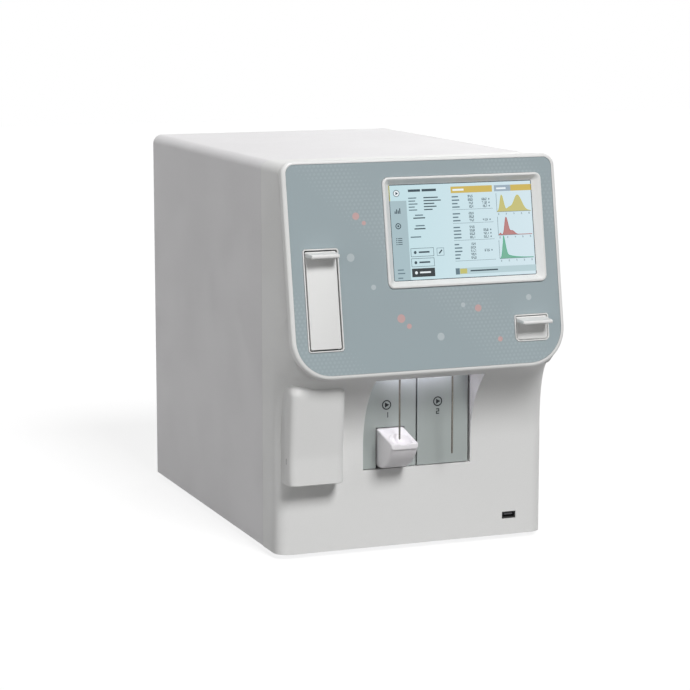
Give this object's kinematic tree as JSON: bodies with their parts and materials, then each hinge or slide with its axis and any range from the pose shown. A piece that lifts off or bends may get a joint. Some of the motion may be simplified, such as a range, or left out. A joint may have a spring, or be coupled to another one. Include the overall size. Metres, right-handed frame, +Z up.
{
  "type": "hematology analyzer",
  "caption": "Bench-top blood cell counter with a leaning touch-screen head, tilting tube door, pipette drawer, needles over press plates in a niche, and a tube mixer.",
  "frame": {"origin": "on the bench, under the middle of the bounding box", "axes": "+Z up, the screen and niche face -Y, +X to the viewer's right"},
  "size_m": [0.292, 0.4828, 0.3987],
  "materials": {
    "moulding": "fine texture, light grey-white",
    "cover_paint": "satin powder coat",
    "membrane": "printed membrane, semi-gloss",
    "plate": "satin",
    "screen": "lit display under clear glass",
    "lamp": "frosted light strip",
    "black": "fine texture",
    "dark": "matte",
    "foot": "matte",
    "steel": "ground",
    "zinc": "plain sheet",
    "clear": "polished acrylic",
    "board": "solder mask"
  },
  "bodies": {
    "cabinet": {"front_casing": "moulding", "cabinet_cover": "cover_paint", "fascia_frame": "moulding", "fascia_overlay": "membrane", "display_bezel": "moulding", "display_glass": "screen", "display_module": "zinc", "display_board": "board", "door_frame": "moulding", "door_hinge_pin": "steel", "drawer_frame": "moulding", "niche_surround": "moulding", "niche_lamp": "lamp", "left_plate_switch": "black", "right_plate_switch": "black", "cup_rail": "zinc", "needle_frame": "zinc", "blood_guide_rod": "steel", "blood_lift_cylinder": "steel", "dilute_guide_rod": "steel", "dilute_lift_cylinder": "steel", "mixer_cover": "moulding", "mixer_drive": "zinc", "front_port": "black", "base_tray": "zinc", "bulkhead": "zinc", "chassis_plate": "zinc", "rear_panel": "cover_paint", "power_supply": "zinc", "main_board": "board", "measuring_cell_1": "clear", "measuring_cell_2": "clear", "sample_valve": "steel", "dispenser": "clear", "vacuum_pump": "dark", "fan_housing": "black", "fan_guard": "steel", "power_inlet": "black", "reagent_fittings": "clear", "sensor_sockets": "dark", "data_ports": "black", "foot_1": "foot", "foot_2": "foot", "foot_3": "foot", "foot_4": "foot"},
    "door": {"tube_door": "moulding", "tube_holder": "moulding"},
    "drawer": {"pipette_drawer": "moulding"},
    "left_plate": {"left_start_plate": "plate"},
    "right_plate": {"right_start_plate": "plate"},
    "cup": {"rinse_cup": "moulding"},
    "blood_lift": {"blood_needle": "steel", "blood_carriage": "zinc"},
    "dilute_lift": {"dilute_needle": "steel", "dilute_carriage": "zinc"},
    "rotor": {"mixer_rotor": "dark"},
    "disc": {"valve_disc": "clear"},
    "plunger": {"dispenser_plunger": "steel"},
    "impeller": {"fan_impeller": "dark"},
    "rocker": {"power_switch": "black"}
  },
  "joints": [
    {"name": "tube_door_tilt", "type": "hinge", "parent": "cabinet", "child": "door", "pos_m": [0, -0.22316, 0.22293], "axis": [1, 0, 0], "range_deg": [0, 28]},
    {"name": "pipette_drawer_slide", "type": "slide", "parent": "cabinet", "child": "drawer", "axis": [0, -0.9845, 0.1752], "range_m": [0, 0.028]},
    {"name": "left_plate_press", "type": "slide", "parent": "cabinet", "child": "left_plate", "axis": [0, 1, 0], "range_m": [0, 0.002], "stiffness_N_per_m": 400, "springref_m": -0.0005},
    {"name": "right_plate_press", "type": "slide", "parent": "cabinet", "child": "right_plate", "axis": [0, 1, 0], "range_m": [0, 0.002], "stiffness_N_per_m": 400, "springref_m": -0.0005},
    {"name": "rinse_cup_slide", "type": "slide", "parent": "cabinet", "child": "cup", "axis": [0, 1, 0], "range_m": [0, 0.034]},
    {"name": "blood_needle_lift", "type": "slide", "parent": "cabinet", "child": "blood_lift", "axis": [0, 0, 1], "range_m": [0, 0.05]},
    {"name": "dilute_needle_lift", "type": "slide", "parent": "cabinet", "child": "dilute_lift", "axis": [0, 0, 1], "range_m": [0, 0.05]},
    {"name": "mixer_spin", "type": "hinge", "parent": "cabinet", "child": "rotor", "pos_m": [-0.11225, -0.17407, 0.092], "axis": [0, 0, 1], "continuous": true},
    {"name": "valve_turn", "type": "hinge", "parent": "cabinet", "child": "disc", "pos_m": [-0.0026, -0.09957, 0.17], "axis": [1, 0, 0], "range_deg": [0, 45]},
    {"name": "plunger_slide", "type": "slide", "parent": "cabinet", "child": "plunger", "axis": [0, 0, 1], "range_m": [-0.03, 0]},
    {"name": "fan_spin", "type": "hinge", "parent": "cabinet", "child": "impeller", "pos_m": [0.072, 0.2224, 0.3153], "axis": [0, 1, 0], "continuous": true},
    {"name": "power_switch_rock", "type": "hinge", "parent": "cabinet", "child": "rocker", "pos_m": [0.101, 0.23393, 0.066], "axis": [1, 0, 0], "range_deg": [-16, 0]}
  ]
}
